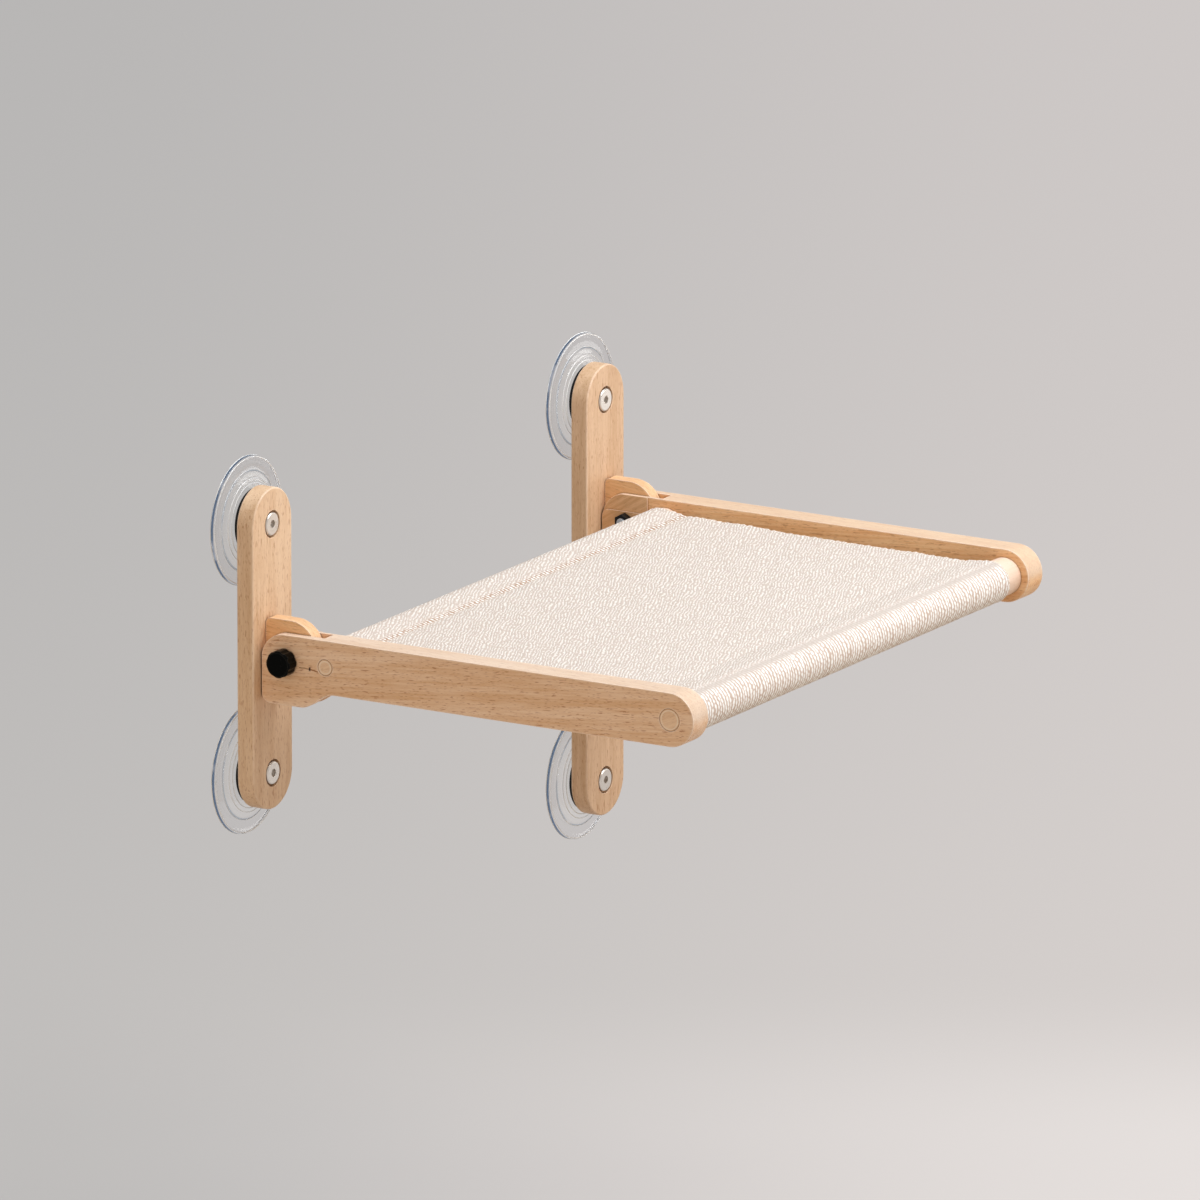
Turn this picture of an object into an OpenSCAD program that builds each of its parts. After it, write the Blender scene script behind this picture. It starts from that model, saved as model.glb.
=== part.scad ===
// Wall-hung perch: two wooden uprights on suction cups carry a sling frame that folds up.
// Millimetres. X runs along the mounting plane, which is y = 0, and the perch stands out to -Y.
// Z is up, z = 0 is the height of the fold's axis and x = 0 is midway between the uprights.
// In outlines the first coordinate, f, is the distance from the mounting plane.

/* [Uprights] */
// Distance between the middle lines of the two uprights
upright_spacing = 420; // [360:5:560]
// Width of each upright
upright_w = 48; // [44:1:60]
// Thickness of each upright
upright_t = 12.5; // [11:0.5:20]
// Length of the left upright above the fold's axis
left_rise = 110; // [95:1:180]
// Length of the left upright below the fold's axis
left_drop = 104; // [95:1:220]
// Length of the right upright above the fold's axis
right_rise = 103; // [95:1:180]
// Length of the right upright below the fold's axis
right_drop = 205; // [95:1:260]
// Radius that eases the edges of the uprights
upright_round = 1.2; // [0.5:0.1:3]

/* [Suction cups] */
// Diameter of a suction cup over its rim
cup_d = 85; // [75:1:100]
// Thickness of a cup's rim
rim_t = 2.8; // [1.5:0.1:3.5]
// Height of a cup from the mounting plane to the top of its hub
cup_h = 5.5; // [5:0.5:10]
// Depth of the hollow under a cup
hollow_h = 1; // [0.5:0.1:1.5]
// Thickness of the black washer between a cup and its upright
pad_t = 3; // [1:0.5:6]

/* [Cup bolts] */
// Diameter of a cup bolt's shank
bolt_d = 6; // [5:0.5:8]
// Diameter of a cup bolt's head
head_d = 15.5; // [13:0.5:18]
// Thickness of a cup bolt's head
head_h = 3.2; // [2.5:0.1:4.5]
// Height of the bolt heads above the face of the upright
head_stand = 0.4; // [0.1:0.1:0.5]
// Size of the hexagon socket across its flats
socket_w = 5; // [4:0.5:6]

/* [Arms] */
// Height of an arm's straight board
arm_h = 35.6; // [30:0.2:40]
// Distance from the uprights' front to the middle of the front dowel
arm_reach = 306.5; // [220:0.5:380]
// Distance of an arm's outer face from the middle line of its upright
arm_outset = 15; // [8:0.5:20]
// Thickness of the outer cheek of an arm's fork
outer_cheek_t = 6; // [5:0.2:9]
// Thickness of the inner cheek of an arm's fork
inner_cheek_t = 2.2; // [2:0.2:6]
// Depth of an arm's head below the fold's axis
head_depth = 29; // [26:0.5:36]
// Length of the head's level underside, from the uprights' front
head_run = 30; // [24:0.5:40]
// Length of the curve from the head's underside to the board
ease_run = 25; // [20:0.5:45]
// Radius of the head's lower rear corner
heel_r = 6; // [3:0.5:8]

/* [Hinge] */
// Thickness of a hinge block, which fills the fork
block_t = 10; // [8:0.5:14]
// Height of a hinge block above the fold's axis
hump_h = 26; // [25:0.2:30]
// Radius of a hinge block's rounded front
hump_r = 20; // [17:0.5:22]
// Depth of a hinge block below the fold's axis
block_drop = 24; // [21:0.5:25]
// Outer diameter of a hinge bush
bush_d = 9; // [8:0.5:12]
// Thickness of the plates on the inner side of an arm's head
plate_t = 1.2; // [0.8:0.1:3]
// Length of these plates, from the uprights' front
plate_run = 35; // [32:0.5:36]
// Height of the cover plate's top edge above the fold's axis
cover_rise = 6.5; // [6:0.5:12]

/* [Dowels] */
// Diameter of the two dowels
dowel_d = 25; // [20:0.5:30]
// Wood between the fork's bottom and the screw head's hole over the rear dowel
rear_wall = 0.6; // [0.4:0.1:8]
// Diameter of the plugs over the rear dowel's screws
rear_plug_d = 11; // [10:0.5:14]
// Diameter of the plugs over the front dowel's screws
front_plug_d = 15; // [10:0.5:18]

/* [Sling] */
// Thickness of the sling's cloth
cloth_t = 1.2; // [0.8:0.1:2.5]
// Height of the middle of the cloth above the dowels' middle
cloth_rise = 10.8; // [6:0.2:11]
// Bare dowel in all, both ends together
bare_run = 22; // [6:1:60]
// Shift of the rear sleeve to the right
rear_shift = 3; // [0:0.5:3]
// Shift of the front sleeve to the left
front_shift = 7; // [0:0.5:8]

/* [Knobs] */
// Diameter of a clamping knob
knob_d = 18; // [16:0.5:30]
// Height of a clamping knob
knob_h = 9; // [8:0.5:18]
// Number of finger scallops round a knob
scallops = 8; // [5:1:12]
// Diameter of a knob's stud
stud_d = 6; // [5:0.5:6.5]
// Diameter of the washer under a knob
knob_washer_d = 16; // [14:0.5:28]
// Thickness of the washer under a knob
knob_washer_t = 1; // [0.8:0.1:2.5]
// Size of a pivot nut across its flats
nut_w = 10; // [9.5:0.5:11]
// Thickness of a pivot nut
nut_h = 5; // [4:0.5:8]

/* [Hidden] */
$fn = 96;

// Clearances
lap = 1;            // overrun of every cut
side_gap = 0.3;     // between a hinge block and each cheek of its fork
head_gap = 0.8;     // between an arm and the upright, at rest and folded
corner_gap = 0.3;   // how far the head's top corner stands outside the board's half height
hump_gap = 0.4;     // between the hinge block's top and the folded arm's fork
bolt_gap = 0.3;     // round a bolt or stud in its hole
thread_gap = 0.05;  // round a screw in its thread, and round a stud in its bush
plug_gap = 0.15;    // round a wooden plug
sleeve_gap = 0.3;   // between the cloth and its dowel
counterbore_gap = 1.4; // round a bolt's head

// Cup profile, as shares of the cup's radius and height, from the rim's bead to the hub
cup_profile_shares = [[0.93, 0.42], [0.776, 0.44], [0.753, 0.62], [0.67, 0.66], [0.647, 0.86], [0.62, 0.88]];
bead_share = 0.945;
hub_share = 0.6;
hollow_share = 0.7;
hollow_top_share = 0.5;
pad_inset = 3.5;
insert_d = 9;
insert_flange_d = 13;
insert_flange_t = 1.2;
insert_floor = 0.8;
tip_gap = 0.5;
head_bevel = 0.7;
socket_h = 1.8;

// Screws that nobody sees once the perch is together
block_screw_d = 3.5;
block_screw_head_d = 7;
block_screw_head_h = 2.4;
block_screw_z = 13;
block_screw_bite = 13;
dowel_screw_d = 3.5;
dowel_screw_head_d = 6;
dowel_screw_bite = 24;
plug_h = 4;

// Knob details
knob_bevel = 1.2;
scallop_d = 7;
scallop_depth = 0.6;
stud_seat = 6;
stud_tail = 1.5;

// Curves of the hinge blocks and of the arms' heads
hump_corner_r = 4;
toe_share = 0.17;
toe_rise = 12;
cover_corner_r = 5;
ease_steps = 16;

// Distances from the mounting plane
back_f = cup_h + pad_t;
front_f = back_f + upright_t;
head_f = front_f + head_gap;
pivot_f = head_f + arm_h / 2;
slot_f = pivot_f + hump_h + hump_gap;
rear_dowel_f = slot_f + rear_wall + thread_gap + dowel_screw_head_d / 2;
front_dowel_f = front_f + arm_reach;

// Distances from the middle plane, the same on both sides
upright_x = upright_spacing / 2;
arm_out_x = upright_x + arm_outset;
slot_out_x = arm_out_x - outer_cheek_t;
block_out_x = slot_out_x - side_gap;
block_in_x = block_out_x - block_t;
slot_in_x = block_in_x - side_gap;
arm_in_x = slot_in_x - inner_cheek_t;
inner_plate_x = arm_in_x - plate_t;
cover_plate_x = inner_plate_x - plate_t;
nut_in_x = cover_plate_x - nut_h;
knob_x = arm_out_x + knob_washer_t;
plug_x = arm_out_x - plug_h;

// Heights of the cups
cup_inset = upright_w / 2;
left_cups = [left_rise - cup_inset, cup_inset - left_drop];
right_cups = [right_rise - cup_inset, cup_inset - right_drop];

// Cup and sleeve radii
hub_r = hub_share * cup_d / 2;
pad_r = hub_r - pad_inset;
sleeve_in_r = dowel_d / 2 + sleeve_gap;
sleeve_out_r = sleeve_in_r + cloth_t;
sling_w = 2 * arm_in_x - bare_run;

wood = "#DDB48C";
end_wood = "#CB9C69";
cloth = "#F1E7DE";
clear = "#C9D2D6";
nickel = "#B9B6B0";
black = "#1C1C1E";
brass = "#C2A35A";

// An outline in f and z, made solid from x0 to x1
module slab(x0, x1) {
  translate([x1, 0, 0])
    rotate([90, 0, -90])
      linear_extrude(x1 - x0)
        children();
}

// A round bar along X
module x_rod(x0, x1, r, f, z) {
  translate([x0, -f, z])
    rotate([0, 90, 0])
      cylinder(h = x1 - x0, r = r);
}

// A round bar along Y, from f0 to f1
module y_rod(f0, f1, r, x, z) {
  translate([x, -f0, z])
    rotate([90, 0, 0])
      cylinder(h = f1 - f0, r = r);
}

// Children stand on the right, or mirrored on the left
module on_left() {
  mirror([1, 0, 0])
    children();
}

module bar_section(w, t, r) {
  translate([r - w / 2, 0])
    square([w - 2 * r, t]);
  translate([-w / 2, r])
    square([w, t - 2 * r]);
  for (x = [r - w / 2, w / 2 - r])
    for (y = [r, t - r])
      translate([x, y])
        circle(r);
}

module half_section(w, t, r) {
  square([w / 2 - r, t]);
  translate([0, r])
    square([w / 2, t - 2 * r]);
  for (y = [r, t - r])
    translate([w / 2 - r, y])
      circle(r);
}

module round_end(z, turn) {
  translate([0, -back_f, z])
    rotate([90, turn, 0])
      rotate_extrude(angle = 180)
        half_section(upright_w, upright_t, upright_round);
}

// One upright on the plane x = 0, with its bolt and screw holes
module upright(rise, drop, block_x) {
  top_z = rise - cup_inset;
  low_z = cup_inset - drop;
  difference() {
    union() {
      translate([0, -back_f, low_z])
        mirror([0, 1, 0])
          linear_extrude(top_z - low_z)
            bar_section(upright_w, upright_t, upright_round);
      round_end(top_z, 0);
      round_end(low_z, 180);
    }
    for (z = [top_z, low_z]) {
      y_rod(back_f - lap, front_f + lap, bolt_d / 2 + bolt_gap, 0, z);
      y_rod(front_f + head_stand - head_h, front_f + lap, head_d / 2 + counterbore_gap, 0, z);
    }
    for (z = [-block_screw_z, block_screw_z]) {
      y_rod(back_f - lap, front_f + lap, block_screw_d / 2 + bolt_gap, block_x, z);
      y_rod(back_f - lap, back_f + block_screw_head_h, block_screw_head_d / 2 + bolt_gap, block_x, z);
    }
  }
}

block_mid_x = (block_in_x + block_out_x) / 2;

module left_upright() {
  color(wood)
    on_left()
      translate([upright_x, 0, 0])
        upright(left_rise, left_drop, block_mid_x - upright_x);
}

module right_upright() {
  color(wood)
    translate([upright_x, 0, 0])
      upright(right_rise, right_drop, block_mid_x - upright_x);
}

module insert_outline() {
  floor_h = hollow_h + insert_floor;
  translate([0, floor_h])
    square([insert_flange_d / 2, insert_flange_t]);
  translate([0, floor_h])
    square([insert_d / 2, cup_h - floor_h]);
}

module cup_outline() {
  r = cup_d / 2;
  profile = [for (s = cup_profile_shares) [s[0] * r, s[1] * cup_h]];
  polygon(concat(
    [[0, hollow_h], [hollow_top_share * r, hollow_h], [hollow_share * r, 0], [r, 0]],
    [[r, rim_t], [bead_share * r, rim_t]],
    profile,
    [[hub_r, cup_h], [0, cup_h]]
  ));
}

module at_cup(x, z) {
  translate([x, 0, z])
    rotate([90, 0, 0])
      children();
}

module cup(x, z) {
  color(clear, 0.5)
    at_cup(x, z)
      rotate_extrude()
        difference() {
          cup_outline();
          insert_outline();
        }
}

module upper_left_cup() {
  cup(-upright_x, left_cups[0]);
}

module lower_left_cup() {
  cup(-upright_x, left_cups[1]);
}

module upper_right_cup() {
  cup(upright_x, right_cups[0]);
}

module lower_right_cup() {
  cup(upright_x, right_cups[1]);
}

// Children stand at each of the four cups
module at_all_cups() {
  for (z = left_cups)
    at_cup(-upright_x, z)
      children();
  for (z = right_cups)
    at_cup(upright_x, z)
      children();
}

module cup_inserts() {
  color(brass)
    at_all_cups()
      rotate_extrude()
        difference() {
          insert_outline();
          square([bolt_d / 2 + thread_gap, cup_h + lap]);
        }
}

module cup_washers() {
  color(black)
    at_all_cups()
      translate([0, 0, cup_h])
        difference() {
          cylinder(h = pad_t, r = pad_r);
          translate([0, 0, -lap])
            cylinder(h = pad_t + 2 * lap, r = bolt_d / 2 + bolt_gap);
        }
}

// One cup bolt along the cup's axis, with a bevelled head and a hexagon socket
module cup_bolt() {
  tip_h = hollow_h + insert_floor + tip_gap;
  top_h = front_f + head_stand;
  seat_h = top_h - head_h;
  difference() {
    rotate_extrude()
      polygon([
        [0, tip_h], [bolt_d / 2, tip_h], [bolt_d / 2, seat_h], [head_d / 2, seat_h],
        [head_d / 2, top_h - head_bevel], [head_d / 2 - head_bevel, top_h], [0, top_h]
      ]);
    translate([0, 0, top_h - socket_h])
      cylinder(h = socket_h + lap, d = socket_w / cos(30), $fn = 6);
  }
}

module left_cup_bolts() {
  color(nickel)
    for (z = left_cups)
      at_cup(-upright_x, z)
        cup_bolt();
}

module right_cup_bolts() {
  color(nickel)
    for (z = right_cups)
      at_cup(upright_x, z)
        cup_bolt();
}

// Side outline of a hinge block: an upright tongue with a hump that rounds forward
module block_outline() {
  hump_z = hump_h - hump_r;
  nose_f = pivot_f + hump_r;
  difference() {
    polygon([
      [front_f, -block_drop], [pivot_f + toe_share * hump_r, -block_drop], [nose_f, -toe_rise],
      [nose_f, hump_z], [pivot_f, hump_z], [pivot_f, hump_h], [front_f, hump_h]
    ]);
    difference() {
      translate([front_f - lap, hump_h - hump_corner_r])
        square([hump_corner_r + lap, hump_corner_r + lap]);
      translate([front_f + hump_corner_r, hump_h - hump_corner_r])
        circle(hump_corner_r);
    }
  }
  intersection() {
    translate([pivot_f, hump_z])
      circle(hump_r);
    translate([pivot_f, hump_z])
      square([hump_r + lap, hump_r + lap]);
  }
}

module hinge_block() {
  color(end_wood)
    difference() {
      slab(block_in_x, block_out_x)
        block_outline();
      x_rod(block_in_x - lap, block_out_x + lap, bush_d / 2, pivot_f, 0);
      for (z = [-block_screw_z, block_screw_z])
        y_rod(front_f - lap, front_f + block_screw_bite, block_screw_d / 2 + thread_gap, block_mid_x, z);
    }
}

module left_hinge_block() {
  on_left()
    hinge_block();
}

module right_hinge_block() {
  hinge_block();
}

module block_screws() {
  for (z = [-block_screw_z, block_screw_z]) {
    y_rod(back_f, front_f + block_screw_bite - tip_gap, block_screw_d / 2, block_mid_x, z);
    y_rod(back_f, back_f + block_screw_head_h, block_screw_head_d / 2, block_mid_x, z);
  }
}

module hinge_block_screws() {
  color(nickel) {
    block_screws();
    on_left()
      block_screws();
  }
}

module hinge_bush() {
  color(brass)
    difference() {
      x_rod(block_in_x, block_out_x, bush_d / 2, pivot_f, 0);
      x_rod(block_in_x - lap, block_out_x + lap, stud_d / 2 + thread_gap, pivot_f, 0);
    }
}

module left_hinge_bush() {
  on_left()
    hinge_bush();
}

module right_hinge_bush() {
  hinge_bush();
}

// The head's underside and the double curve that brings it up to the board
module head_outline() {
  half = arm_h / 2;
  low = -head_depth;
  fall = head_depth - half;
  run_f = front_f + head_run;
  ease_points = [
    for (i = [0:ease_steps])
      [run_f + ease_run * i / ease_steps, low + fall * (1 - cos(180 * i / ease_steps)) / 2]
  ];
  translate([head_f + heel_r, low])
    square([run_f - head_f - heel_r, head_depth]);
  translate([head_f, low + heel_r])
    square([run_f - head_f, head_depth - heel_r]);
  translate([head_f + heel_r, low + heel_r])
    circle(heel_r);
  polygon(concat(ease_points, [[run_f + ease_run, lap - half], [run_f, lap - half]]));
}

// Side outline of an arm: head, straight board and round front end
module arm_outline() {
  half = arm_h / 2;
  translate([pivot_f, -half])
    square([front_dowel_f - pivot_f, arm_h]);
  translate([front_dowel_f, 0])
    circle(half);
  intersection() {
    translate([head_f, -lap])
      square([pivot_f - head_f + lap, half + lap]);
    translate([pivot_f, 0])
      circle(half + corner_gap);
  }
  head_outline();
}

// Counterbored hole for a dowel's screw, closed by a plug
module dowel_screw_hole(f, plug_d) {
  x_rod(arm_in_x - lap, arm_out_x + lap, dowel_screw_d / 2 + thread_gap, f, 0);
  x_rod(slot_out_x, arm_out_x + lap, dowel_screw_head_d / 2 + thread_gap, f, 0);
  x_rod(plug_x, arm_out_x + lap, plug_d / 2, f, 0);
}

module arm() {
  color(wood)
    difference() {
      slab(arm_in_x, arm_out_x)
        arm_outline();
      slab(slot_in_x, slot_out_x)
        translate([front_f - lap, -head_depth - lap])
          square([slot_f - front_f + lap, head_depth + arm_h]);
      x_rod(arm_in_x - lap, arm_out_x + lap, stud_d / 2 + bolt_gap, pivot_f, 0);
      dowel_screw_hole(rear_dowel_f, rear_plug_d);
      dowel_screw_hole(front_dowel_f, front_plug_d);
    }
}

module left_arm() {
  on_left()
    arm();
}

module right_arm() {
  arm();
}

module stud_hole() {
  translate([pivot_f, 0])
    circle(stud_d / 2 + bolt_gap);
}

module inner_plate() {
  color(wood)
    slab(inner_plate_x, arm_in_x)
      difference() {
        intersection() {
          arm_outline();
          translate([head_f - lap, -head_depth - lap])
            square([front_f + plate_run - head_f + lap, head_depth + arm_h]);
        }
        stud_hole();
      }
}

module left_inner_plate() {
  on_left()
    inner_plate();
}

module right_inner_plate() {
  inner_plate();
}

// The cover plate lies on the lower part of the inner plate and carries the nut
module cover_plate() {
  color(end_wood)
    slab(cover_plate_x, inner_plate_x)
      difference() {
        intersection() {
          arm_outline();
          union() {
            translate([head_f + cover_corner_r, -head_depth - lap])
              square([front_f + plate_run - head_f - cover_corner_r, head_depth + lap + cover_rise]);
            translate([head_f, -head_depth - lap])
              square([front_f + plate_run - head_f, head_depth + lap + cover_rise - cover_corner_r]);
            translate([head_f + cover_corner_r, cover_rise - cover_corner_r])
              circle(cover_corner_r);
          }
        }
        stud_hole();
      }
}

module left_cover_plate() {
  on_left()
    cover_plate();
}

module right_cover_plate() {
  cover_plate();
}

module pivot_nut() {
  color(black)
    difference() {
      translate([nut_in_x, -pivot_f, 0])
        rotate([0, 90, 0])
          cylinder(h = nut_h, d = nut_w / cos(30), $fn = 6);
      x_rod(nut_in_x - lap, cover_plate_x + lap, stud_d / 2 + thread_gap, pivot_f, 0);
    }
}

module left_pivot_nut() {
  on_left()
    pivot_nut();
}

module right_pivot_nut() {
  pivot_nut();
}

// A dowel butts against both arms and is bored for a screw at each end
module dowel(f) {
  color(wood)
    difference() {
      x_rod(-arm_in_x, arm_in_x, dowel_d / 2, f, 0);
      x_rod(arm_in_x - dowel_screw_bite, arm_in_x + lap, dowel_screw_d / 2 + thread_gap, f, 0);
      x_rod(-arm_in_x - lap, dowel_screw_bite - arm_in_x, dowel_screw_d / 2 + thread_gap, f, 0);
    }
}

module rear_dowel() {
  dowel(rear_dowel_f);
}

module front_dowel() {
  dowel(front_dowel_f);
}

module dowel_screw(f) {
  x_rod(arm_in_x - dowel_screw_bite + tip_gap, plug_x, dowel_screw_d / 2, f, 0);
  x_rod(slot_out_x, plug_x, dowel_screw_head_d / 2, f, 0);
}

module dowel_screws() {
  color(nickel)
    for (f = [rear_dowel_f, front_dowel_f]) {
      dowel_screw(f);
      on_left()
        dowel_screw(f);
    }
}

module plug(f, plug_d) {
  x_rod(plug_x, arm_out_x, plug_d / 2 - plug_gap, f, 0);
}

module rear_plugs() {
  color(end_wood) {
    plug(rear_dowel_f, rear_plug_d);
    on_left()
      plug(rear_dowel_f, rear_plug_d);
  }
}

module front_plugs() {
  color(end_wood) {
    plug(front_dowel_f, front_plug_d);
    on_left()
      plug(front_dowel_f, front_plug_d);
  }
}

// The cloth: a sleeve round each dowel and a flat panel that skews a little between them
module sling() {
  half = sling_w / 2;
  color(cloth)
    difference() {
      union() {
        x_rod(rear_shift - half, rear_shift + half, sleeve_out_r, rear_dowel_f, 0);
        x_rod(-front_shift - half, half - front_shift, sleeve_out_r, front_dowel_f, 0);
        translate([0, 0, cloth_rise - cloth_t / 2])
          linear_extrude(cloth_t)
            polygon([
              [rear_shift - half, -rear_dowel_f], [rear_shift + half, -rear_dowel_f],
              [half - front_shift, -front_dowel_f], [-front_shift - half, -front_dowel_f]
            ]);
      }
      for (f = [rear_dowel_f, front_dowel_f])
        x_rod(-arm_in_x, arm_in_x, sleeve_in_r, f, 0);
    }
}

module knob_washer() {
  color(black)
    difference() {
      x_rod(arm_out_x, knob_x, knob_washer_d / 2, pivot_f, 0);
      x_rod(arm_out_x - lap, knob_x + lap, stud_d / 2 + thread_gap, pivot_f, 0);
    }
}

module left_knob_washer() {
  on_left()
    knob_washer();
}

module right_knob_washer() {
  knob_washer();
}

module knob() {
  r = knob_d / 2;
  color(black)
    translate([knob_x, -pivot_f, 0])
      rotate([0, 90, 0])
        difference() {
          rotate_extrude()
            polygon([
              [0, 0], [r, 0], [r, knob_h - knob_bevel], [r - knob_bevel, knob_h], [0, knob_h]
            ]);
          for (i = [0:scallops - 1])
            rotate([0, 0, 360 * (i + 1 / 2) / scallops])
              translate([r + scallop_d / 2 - scallop_depth, 0, -lap])
                cylinder(h = knob_h + 2 * lap, d = scallop_d);
          translate([0, 0, -lap])
            cylinder(h = stud_seat + lap, r = stud_d / 2);
        }
}

module left_knob() {
  on_left()
    knob();
}

module right_knob() {
  knob();
}

// The stud is fixed in its knob and runs through the whole hinge into the nut
module knob_stud() {
  color(nickel)
    x_rod(nut_in_x - stud_tail, knob_x + stud_seat, stud_d / 2, pivot_f, 0);
}

module left_knob_stud() {
  on_left()
    knob_stud();
}

module right_knob_stud() {
  knob_stud();
}

left_upright();
right_upright();
upper_left_cup();
lower_left_cup();
upper_right_cup();
lower_right_cup();
cup_inserts();
cup_washers();
left_cup_bolts();
right_cup_bolts();
left_hinge_block();
right_hinge_block();
hinge_block_screws();
left_hinge_bush();
right_hinge_bush();
left_arm();
right_arm();
left_inner_plate();
right_inner_plate();
left_cover_plate();
right_cover_plate();
left_pivot_nut();
right_pivot_nut();
rear_dowel();
front_dowel();
dowel_screws();
rear_plugs();
front_plugs();
sling();
left_knob_washer();
right_knob_washer();
left_knob();
right_knob();
left_knob_stud();
right_knob_stud();
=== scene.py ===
# Fold-up cloth perch on wooden arms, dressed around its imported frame.
# Metres, +Z up. The suction cups seal on the plane y = 0 and the perch stands out towards -Y.
import math

import bpy
import numpy as np
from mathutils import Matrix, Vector


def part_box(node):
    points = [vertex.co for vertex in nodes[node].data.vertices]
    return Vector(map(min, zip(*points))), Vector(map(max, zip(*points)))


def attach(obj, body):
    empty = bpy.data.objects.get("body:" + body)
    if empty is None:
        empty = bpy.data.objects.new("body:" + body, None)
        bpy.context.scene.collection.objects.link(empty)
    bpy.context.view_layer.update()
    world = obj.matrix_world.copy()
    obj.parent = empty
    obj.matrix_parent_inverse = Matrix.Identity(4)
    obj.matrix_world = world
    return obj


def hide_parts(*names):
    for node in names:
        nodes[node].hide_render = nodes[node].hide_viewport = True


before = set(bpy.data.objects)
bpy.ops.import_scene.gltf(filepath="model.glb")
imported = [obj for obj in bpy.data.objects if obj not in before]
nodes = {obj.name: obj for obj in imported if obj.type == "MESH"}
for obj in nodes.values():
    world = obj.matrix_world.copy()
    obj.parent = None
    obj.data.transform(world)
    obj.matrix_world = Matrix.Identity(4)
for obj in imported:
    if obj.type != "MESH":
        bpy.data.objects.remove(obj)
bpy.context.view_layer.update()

mm = 0.001


# Small helpers

def colour(code):
    # From an sRGB hex code to a linear colour
    values = [int(code[i:i + 2], 16) / 255 for i in (0, 2, 4)]
    linear = [v / 12.92 if v <= 0.04045 else ((v + 0.055) / 1.055) ** 2.4 for v in values]
    return (*linear, 1.0)


def addNode(tree, kind):
    return tree.nodes.new("ShaderNode" + kind)


def wire(tree, socket, value):
    if isinstance(value, bpy.types.NodeSocket):
        tree.links.new(value, socket)
    else:
        socket.default_value = value


def sums(tree, operation, *values, clamp=False):
    node = addNode(tree, "Math")
    node.operation = operation
    node.use_clamp = clamp
    for socket, value in zip(node.inputs, values):
        wire(tree, socket, value)
    return node.outputs[0]


def times(tree, first, second):
    return sums(tree, "MULTIPLY", first, second)


def minus(tree, first, second):
    return sums(tree, "SUBTRACT", first, second)


def vectorSums(tree, operation, *values):
    node = addNode(tree, "VectorMath")
    node.operation = operation
    for socket, value in zip(node.inputs, values):
        wire(tree, socket, value)
    return node.outputs["Value" if operation in ("DOT_PRODUCT", "LENGTH") else "Vector"]


def dot(tree, first, second):
    return vectorSums(tree, "DOT_PRODUCT", first, second)


def scaled(tree, vector, factors):
    return vectorSums(tree, "MULTIPLY", vector, factors)


def splitPoint(tree, vector):
    node = addNode(tree, "SeparateXYZ")
    wire(tree, node.inputs[0], vector)
    return node.outputs


def flatPoint(tree, across, along):
    node = addNode(tree, "CombineXYZ")
    wire(tree, node.inputs["X"], across)
    wire(tree, node.inputs["Y"], along)
    return node.outputs["Vector"]


def noise(tree, vector, scale, detail, roughness=0.5):
    node = addNode(tree, "TexNoise")
    wire(tree, node.inputs["Vector"], vector)
    wire(tree, node.inputs["Scale"], scale)
    node.inputs["Detail"].default_value = detail
    node.inputs["Roughness"].default_value = roughness
    return node.outputs["Fac"]


def remap(tree, value, low, high, toLow=0.0, toHigh=1.0, smooth=True):
    node = addNode(tree, "MapRange")
    node.interpolation_type = "SMOOTHSTEP" if smooth else "LINEAR"
    for socket, number in zip(node.inputs, (value, low, high, toLow, toHigh)):
        wire(tree, socket, number)
    return node.outputs["Result"]


def blendColours(tree, factor, first, second):
    node = addNode(tree, "Mix")
    node.data_type = "RGBA"
    wire(tree, node.inputs["Factor"], factor)
    wire(tree, node.inputs[6], first)
    wire(tree, node.inputs[7], second)
    return node.outputs[2]


def tinted(tree, factor, base, code):
    return blendColours(tree, factor, base, colour(code))


def newGroup(name, inputs, outputs):
    tree = bpy.data.node_groups.new(name, "ShaderNodeTree")
    kinds = {"v": "NodeSocketVector", "f": "NodeSocketFloat", "c": "NodeSocketColor"}
    for label, kind, value in inputs:
        socket = tree.interface.new_socket(name=label, in_out="INPUT", socket_type=kinds[kind])
        if value is not None:
            socket.default_value = value
    for label, kind in outputs:
        tree.interface.new_socket(name=label, in_out="OUTPUT", socket_type=kinds[kind])
    given = tree.nodes.new("NodeGroupInput").outputs
    made = tree.nodes.new("NodeGroupOutput").inputs
    return tree, given, made


def useGroup(tree, group, **values):
    node = addNode(tree, "Group")
    node.node_tree = group
    for label, value in values.items():
        wire(tree, node.inputs[label], value)
    return node.outputs


def newMaterial(name, **settings):
    # One Principled BSDF; the settings go on its own sockets
    made = bpy.data.materials.new(name)
    made.use_nodes = True
    tree = made.node_tree
    shader = tree.nodes["Principled BSDF"]
    for label, value in settings.items():
        shader.inputs[label.replace("_", " ")].default_value = value
    return made, tree, shader.inputs


def objectPoint(tree):
    return addNode(tree, "TexCoord").outputs["Object"]


def bumpFrom(tree, height, distance, strength):
    node = addNode(tree, "Bump")
    node.inputs["Distance"].default_value = distance
    node.inputs["Strength"].default_value = strength
    wire(tree, node.inputs["Height"], height)
    return node.outputs["Normal"]


def coverWith(tree, shader, tone, surface, depth, strength):
    # The colour, roughness and bump of a material; depth is in millimetres
    wire(tree, shader["Base Color"], tone)
    wire(tree, shader["Roughness"], surface["Roughness"])
    wire(tree, shader["Normal"], bumpFrom(tree, surface["Height"], depth * mm, strength))


def addObject(name, data):
    made = bpy.data.objects.new(name, data)
    bpy.context.scene.collection.objects.link(made)
    return made


def zoneMask(tree, label):
    # How far a place is in one of its mesh's zones
    node = addNode(tree, "Attribute")
    node.attribute_name = label
    return node.outputs["Fac"]


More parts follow.
